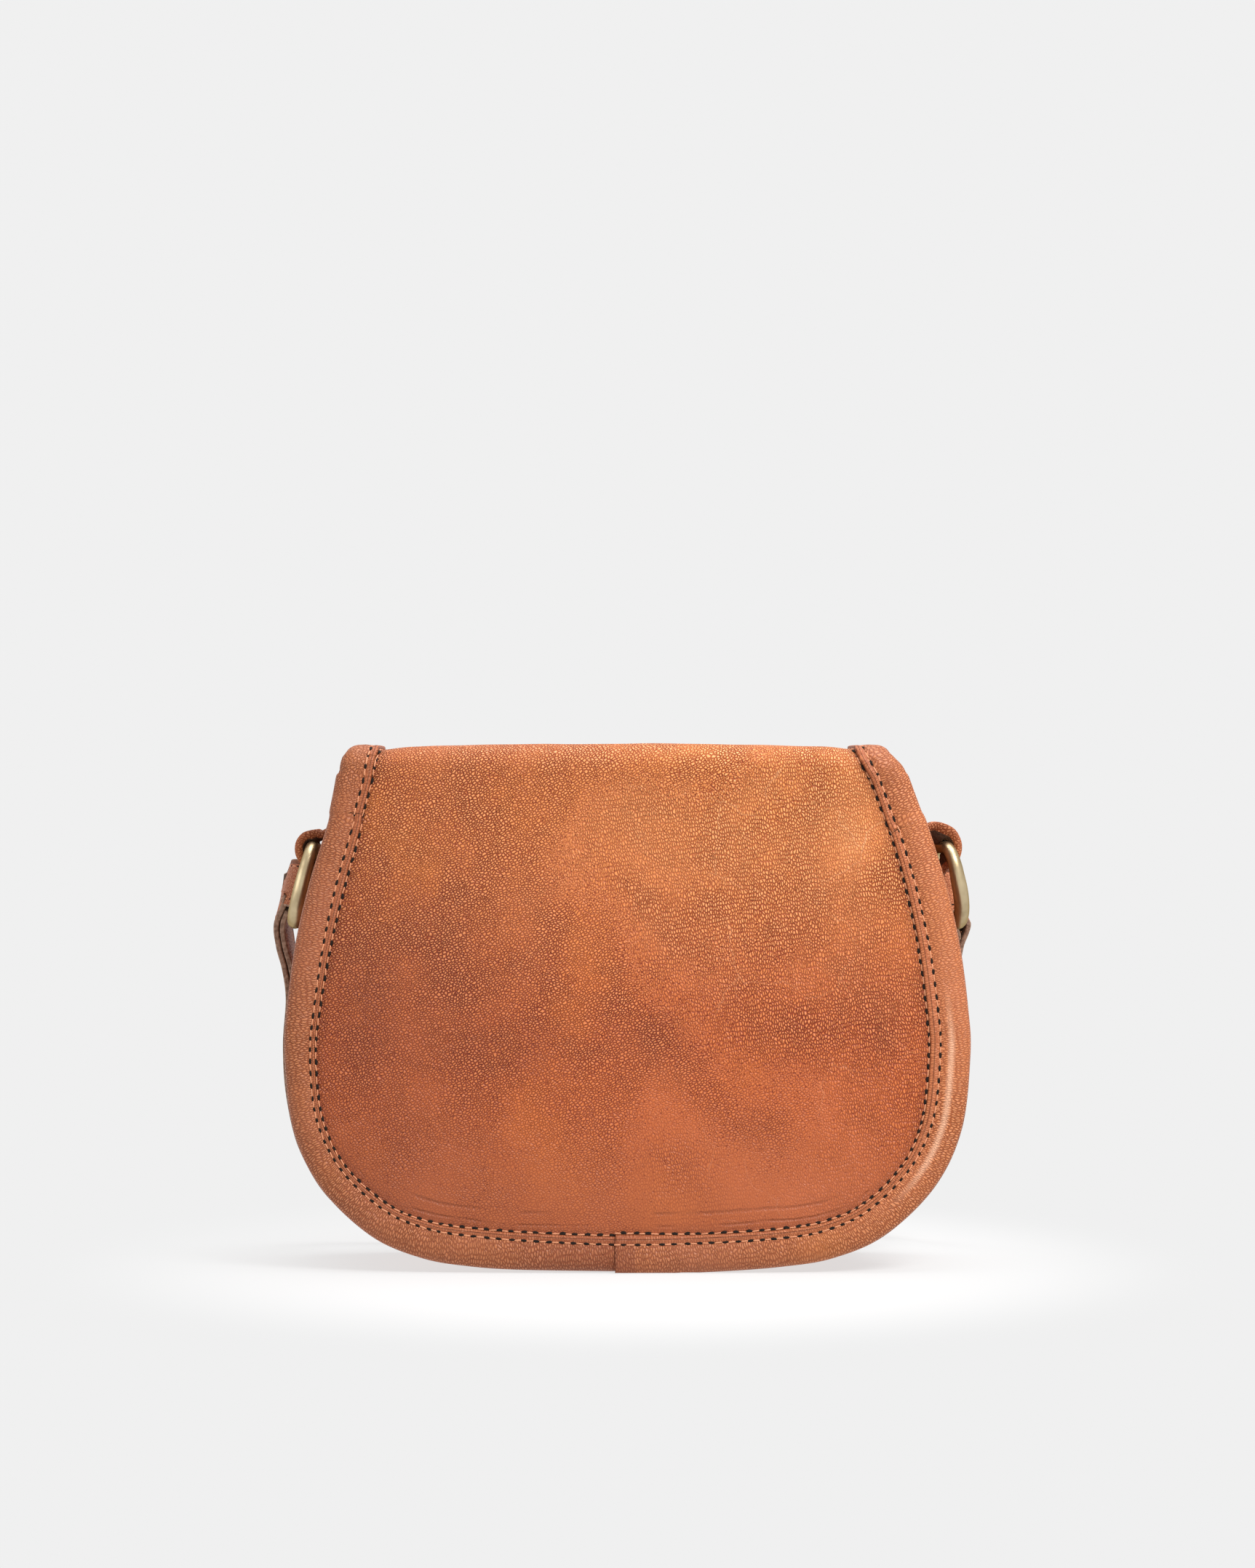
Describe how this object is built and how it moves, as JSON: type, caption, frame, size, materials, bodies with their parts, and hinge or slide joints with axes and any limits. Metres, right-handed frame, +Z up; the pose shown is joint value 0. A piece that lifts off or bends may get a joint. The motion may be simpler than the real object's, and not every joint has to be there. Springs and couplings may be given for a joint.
{
  "type": "shoulder_bag",
  "caption": "Small saddle-shaped shoulder bag of thick grained leather with a full flap, bound edges, a gusset, two D-rings and a carrying strap with a buckle, folded behind it",
  "frame": {"origin": "middle of the footprint of the bag without its free strap, on the surface it stands on", "axes": "+Z up, -Y is the back panel, +Y the side that the flap closes over, X along the width of the bag"},
  "size_m": [0.2329, 0.1519, 0.1686],
  "materials": {
    "tan_leather": "grained",
    "lining_fabric": "matte",
    "antique_brass": "brushed"
  },
  "bodies": {
    "root": {"back_panel": "tan_leather", "front_panel": "tan_leather", "back_lining": "lining_fabric", "front_lining": "lining_fabric", "gusset": "tan_leather", "gusset_lining": "lining_fabric", "back_binding": "tan_leather", "front_binding": "tan_leather", "snap_socket": "antique_brass", "snap_washer": "antique_brass", "ring_tab_left": "tan_leather", "ring_tab_right": "tan_leather", "strap_end_left": "tan_leather", "strap_end_right": "tan_leather", "strap_long": "tan_leather", "strap_short": "tan_leather", "buckle_frame": "antique_brass", "keeper_loop": "tan_leather"},
    "flap_top_body": {"flap_top": "tan_leather", "flap_top_lining": "lining_fabric", "flap_top_binding_left": "tan_leather", "flap_top_binding_right": "tan_leather"},
    "flap_front_body": {"flap_front": "tan_leather", "flap_front_lining": "lining_fabric", "flap_front_binding": "tan_leather", "snap_stud": "antique_brass"},
    "ring_left_body": {"d_ring_left": "antique_brass"},
    "ring_right_body": {"d_ring_right": "antique_brass"},
    "prong_body": {"buckle_prong": "antique_brass"}
  },
  "joints": [
    {"name": "flap_hinge", "type": "hinge", "parent": "root", "child": "flap_top_body", "pos_m": [0, -0.02831, 0.1604], "axis": [1, 0, 0], "range_deg": [0, 125]},
    {"name": "flap_fold", "type": "hinge", "parent": "flap_top_body", "child": "flap_front_body", "pos_m": [0, 0.02709, 0.16661], "axis": [1, 0, 0], "range_deg": [0, 90]},
    {"name": "ring_left_swing", "type": "hinge", "parent": "root", "child": "ring_left_body", "pos_m": [-0.10249, -0.00281, 0.13571], "axis": [0, 1, 0], "range_deg": [0, 150], "deforming": ["strap_end_left"]},
    {"name": "ring_right_swing", "type": "hinge", "parent": "root", "child": "ring_right_body", "pos_m": [0.10249, -0.00281, 0.13571], "axis": [0, -1, 0], "range_deg": [0, 150], "deforming": ["strap_end_right"]},
    {"name": "prong_swing", "type": "hinge", "parent": "root", "child": "prong_body", "pos_m": [0.005, 0.108, 0.0132], "axis": [0, 0, -1], "range_deg": [0, 40]}
  ]
}
